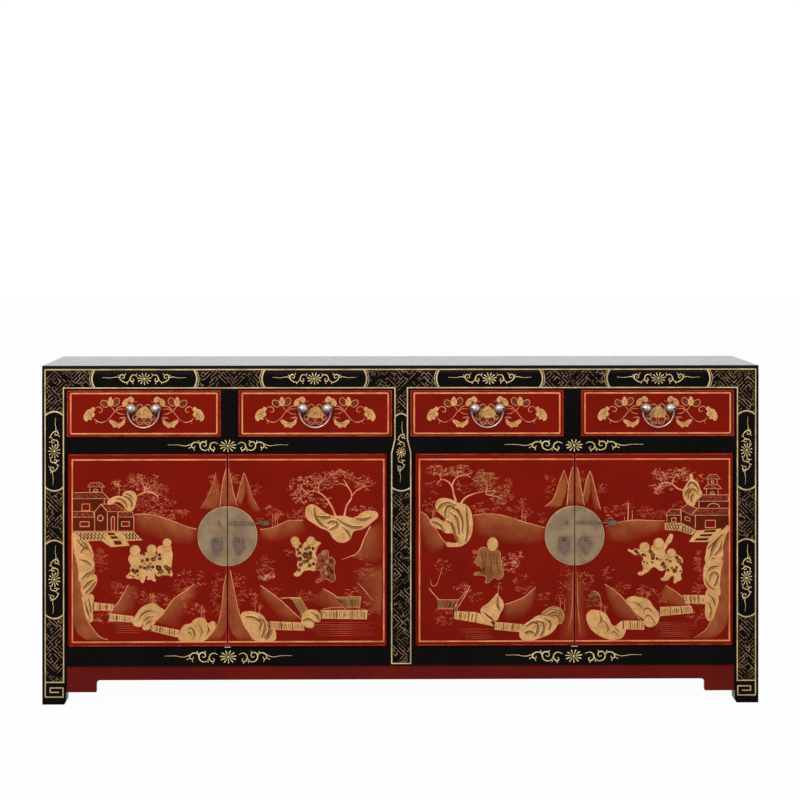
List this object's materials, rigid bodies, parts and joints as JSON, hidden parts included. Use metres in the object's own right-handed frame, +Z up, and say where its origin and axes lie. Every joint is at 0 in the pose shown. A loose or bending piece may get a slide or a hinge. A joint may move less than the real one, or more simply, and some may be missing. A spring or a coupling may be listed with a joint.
{
  "type": "sideboard cabinet",
  "caption": "Low lacquered sideboard with a row of drawers over paired pivot-hung doors, wire bails, round split lock plates and sliding pins.",
  "frame": {"origin": "on the floor, under the middle of the cabinet with its pulls", "axes": "+X to the right as seen from the front, +Y to the back, +Z up"},
  "size_m": [1.8, 0.428, 0.85],
  "materials": {
    "black_lacquer": "gloss lacquer",
    "red_lacquer": "gloss lacquer",
    "bare_wood": "planed, unfinished",
    "aged_brass": "aged, satin",
    "pale_metal": "polished, silvery"
  },
  "bodies": {
    "carcass": {"top_panel": "black_lacquer", "leg_front_left": "black_lacquer", "leg_front_right": "black_lacquer", "leg_back_left": "black_lacquer", "leg_back_right": "black_lacquer", "front_top_rail": "black_lacquer", "middle_rails": "black_lacquer", "bottom_rails": "black_lacquer", "centre_stile": "black_lacquer", "drawer_dividers": "black_lacquer", "side_rails": "black_lacquer", "back_rails": "black_lacquer", "front_apron": "red_lacquer", "side_panel_left": "red_lacquer", "side_panel_right": "red_lacquer", "back_panel": "bare_wood", "bottom_board": "bare_wood", "dust_board": "bare_wood", "centre_partition": "bare_wood", "drawer_runners": "bare_wood", "catch_plates": "pale_metal"},
    "drawer_1": {"drawer_1_front": "red_lacquer", "drawer_1_box": "bare_wood", "drawer_1_bottom": "bare_wood", "drawer_1_posts": "pale_metal"},
    "bail_1": {"drawer_1_bail": "pale_metal"},
    "drawer_2": {"drawer_2_front": "red_lacquer", "drawer_2_box": "bare_wood", "drawer_2_bottom": "bare_wood", "drawer_2_posts": "pale_metal"},
    "bail_2": {"drawer_2_bail": "pale_metal"},
    "drawer_3": {"drawer_3_front": "red_lacquer", "drawer_3_box": "bare_wood", "drawer_3_bottom": "bare_wood", "drawer_3_posts": "pale_metal"},
    "bail_3": {"drawer_3_bail": "pale_metal"},
    "drawer_4": {"drawer_4_front": "red_lacquer", "drawer_4_box": "bare_wood", "drawer_4_bottom": "bare_wood", "drawer_4_posts": "pale_metal"},
    "bail_4": {"drawer_4_bail": "pale_metal"},
    "door_1": {"door_1_panel": "red_lacquer", "door_1_plate": "aged_brass", "door_1_posts": "aged_brass"},
    "teardrop_1": {"door_1_teardrop": "aged_brass"},
    "door_2": {"door_2_panel": "red_lacquer", "door_2_plate": "aged_brass", "door_2_posts": "aged_brass"},
    "teardrop_2": {"door_2_teardrop": "aged_brass"},
    "door_3": {"door_3_panel": "red_lacquer", "door_3_plate": "aged_brass", "door_3_posts": "aged_brass"},
    "teardrop_3": {"door_3_teardrop": "aged_brass"},
    "door_4": {"door_4_panel": "red_lacquer", "door_4_plate": "aged_brass", "door_4_posts": "aged_brass"},
    "teardrop_4": {"door_4_teardrop": "aged_brass"},
    "pin_left": {"lock_pin_left": "aged_brass"},
    "pin_right": {"lock_pin_right": "aged_brass"}
  },
  "joints": [
    {"name": "drawer_1_slide", "type": "slide", "parent": "carcass", "child": "drawer_1", "axis": [0, -1, 0], "range_m": [0, 0.25]},
    {"name": "bail_1_swing", "type": "hinge", "parent": "drawer_1", "child": "bail_1", "pos_m": [-0.64525, -0.2, 0.74175], "axis": [-1, 0, 0], "range_deg": [0, 85]},
    {"name": "drawer_2_slide", "type": "slide", "parent": "carcass", "child": "drawer_2", "axis": [0, -1, 0], "range_m": [0, 0.25]},
    {"name": "bail_2_swing", "type": "hinge", "parent": "drawer_2", "child": "bail_2", "pos_m": [-0.21575, -0.2, 0.74175], "axis": [-1, 0, 0], "range_deg": [0, 85]},
    {"name": "drawer_3_slide", "type": "slide", "parent": "carcass", "child": "drawer_3", "axis": [0, -1, 0], "range_m": [0, 0.25]},
    {"name": "bail_3_swing", "type": "hinge", "parent": "drawer_3", "child": "bail_3", "pos_m": [0.21575, -0.2, 0.74175], "axis": [-1, 0, 0], "range_deg": [0, 85]},
    {"name": "drawer_4_slide", "type": "slide", "parent": "carcass", "child": "drawer_4", "axis": [0, -1, 0], "range_m": [0, 0.25]},
    {"name": "bail_4_swing", "type": "hinge", "parent": "drawer_4", "child": "bail_4", "pos_m": [0.64525, -0.2, 0.74175], "axis": [-1, 0, 0], "range_deg": [0, 85]},
    {"name": "door_1_swing", "type": "hinge", "parent": "carcass", "child": "door_1", "pos_m": [-0.829, -0.177, 0.3], "axis": [0, 0, -1], "range_deg": [0, 95]},
    {"name": "teardrop_1_swing", "type": "hinge", "parent": "door_1", "child": "teardrop_1", "pos_m": [-0.46313, -0.196, 0.4135], "axis": [-1, 0, 0], "range_deg": [0, 85]},
    {"name": "door_2_swing", "type": "hinge", "parent": "carcass", "child": "door_2", "pos_m": [-0.04325, -0.177, 0.3], "axis": [0, 0, 1], "range_deg": [0, 85]},
    {"name": "teardrop_2_swing", "type": "hinge", "parent": "door_2", "child": "teardrop_2", "pos_m": [-0.40913, -0.196, 0.4135], "axis": [-1, 0, 0], "range_deg": [0, 85]},
    {"name": "door_3_swing", "type": "hinge", "parent": "carcass", "child": "door_3", "pos_m": [0.04325, -0.177, 0.3], "axis": [0, 0, -1], "range_deg": [0, 85]},
    {"name": "teardrop_3_swing", "type": "hinge", "parent": "door_3", "child": "teardrop_3", "pos_m": [0.40913, -0.196, 0.4135], "axis": [-1, 0, 0], "range_deg": [0, 85]},
    {"name": "door_4_swing", "type": "hinge", "parent": "carcass", "child": "door_4", "pos_m": [0.829, -0.177, 0.3], "axis": [0, 0, 1], "range_deg": [0, 95]},
    {"name": "teardrop_4_swing", "type": "hinge", "parent": "door_4", "child": "teardrop_4", "pos_m": [0.46313, -0.196, 0.4135], "axis": [-1, 0, 0], "range_deg": [0, 85]},
    {"name": "pin_left_slide", "type": "slide", "parent": "door_2", "child": "pin_left", "axis": [1, 0, 0], "range_m": [-0.052, 0]},
    {"name": "pin_right_slide", "type": "slide", "parent": "door_4", "child": "pin_right", "axis": [1, 0, 0], "range_m": [-0.052, 0]}
  ]
}
